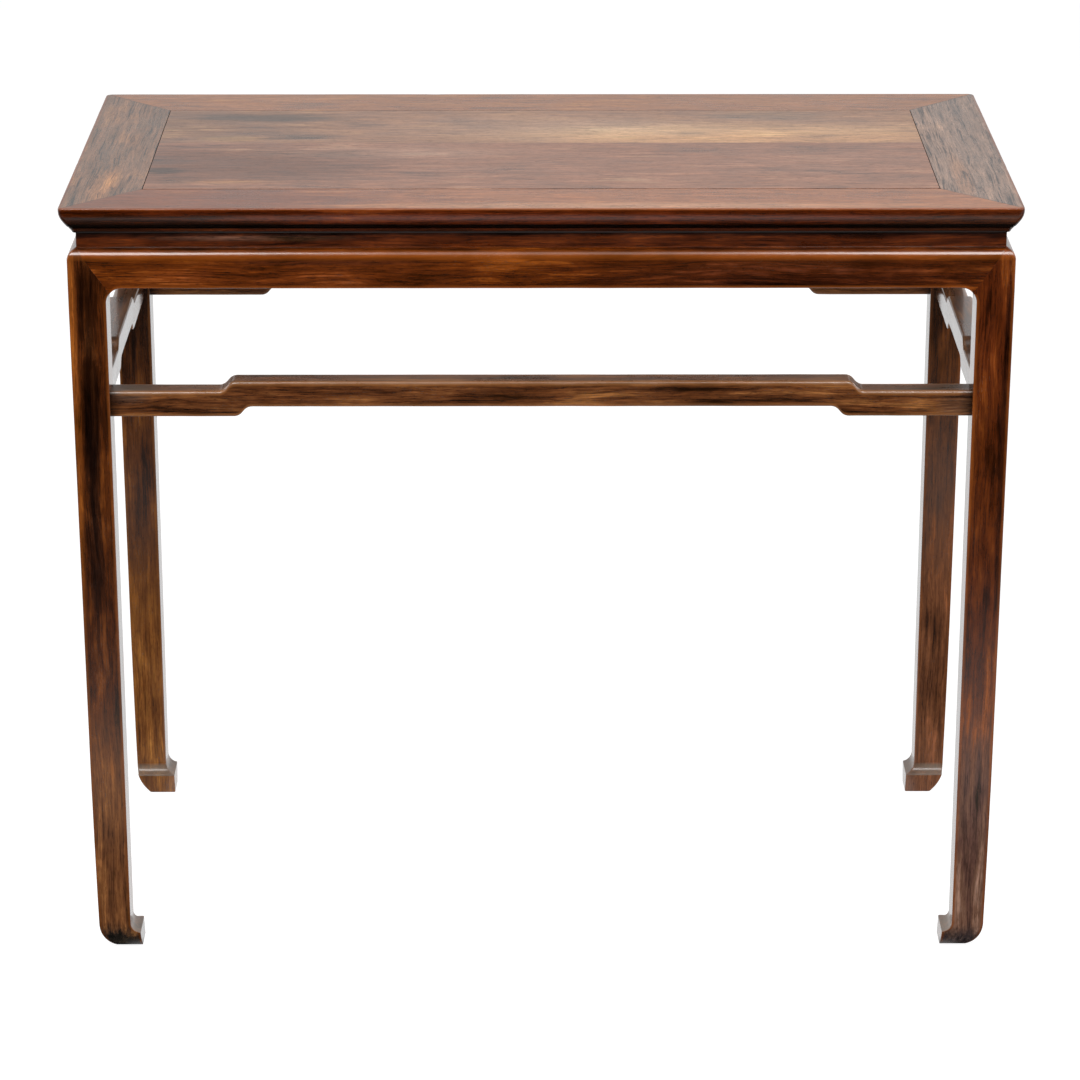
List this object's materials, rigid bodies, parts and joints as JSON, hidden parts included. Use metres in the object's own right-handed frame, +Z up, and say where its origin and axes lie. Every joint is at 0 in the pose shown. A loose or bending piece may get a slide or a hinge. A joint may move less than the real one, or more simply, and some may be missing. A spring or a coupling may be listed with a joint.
{
  "type": "chinese half table",
  "caption": "Rectangular waisted hardwood side table with a mitred frame and flush panel, humpback stretchers on every side and straight legs ending in inward hoof feet.",
  "frame": {"origin": "centre of the footprint, on the floor", "axes": "+Z up, +X along the length of the top, -Y towards the front as the table is seen"},
  "size_m": [0.98, 0.498, 0.835],
  "materials": {
    "top_frame_wood": "hand-planed rosewood, thin wax polish, worn edges",
    "panel_wood": "hand-planed rosewood boards, thin wax polish, faded and worn",
    "waist_wood": "dark rosewood, wax polish",
    "apron_wood": "rosewood with dark streaks, glossy wax polish",
    "leg_wood": "rosewood with dark streaks, glossy wax polish, duller towards the feet",
    "stretcher_wood": "rosewood, wax polish, rubbed edges",
    "batten_wood": "rosewood, planed and left unpolished"
  },
  "bodies": {
    "root": {"top_rail_front": "top_frame_wood", "top_rail_back": "top_frame_wood", "top_rail_left": "top_frame_wood", "top_rail_right": "top_frame_wood", "panel_board_front": "panel_wood", "panel_board_back": "panel_wood", "batten_left": "batten_wood", "batten_middle": "batten_wood", "batten_right": "batten_wood", "waist_front": "waist_wood", "waist_back": "waist_wood", "waist_left": "waist_wood", "waist_right": "waist_wood", "apron_front": "apron_wood", "apron_back": "apron_wood", "apron_left": "apron_wood", "apron_right": "apron_wood", "leg_front_left": "leg_wood", "leg_front_right": "leg_wood", "leg_back_left": "leg_wood", "leg_back_right": "leg_wood", "stretcher_front": "stretcher_wood", "stretcher_back": "stretcher_wood", "stretcher_left": "stretcher_wood", "stretcher_right": "stretcher_wood"}
  },
  "joints": []
}
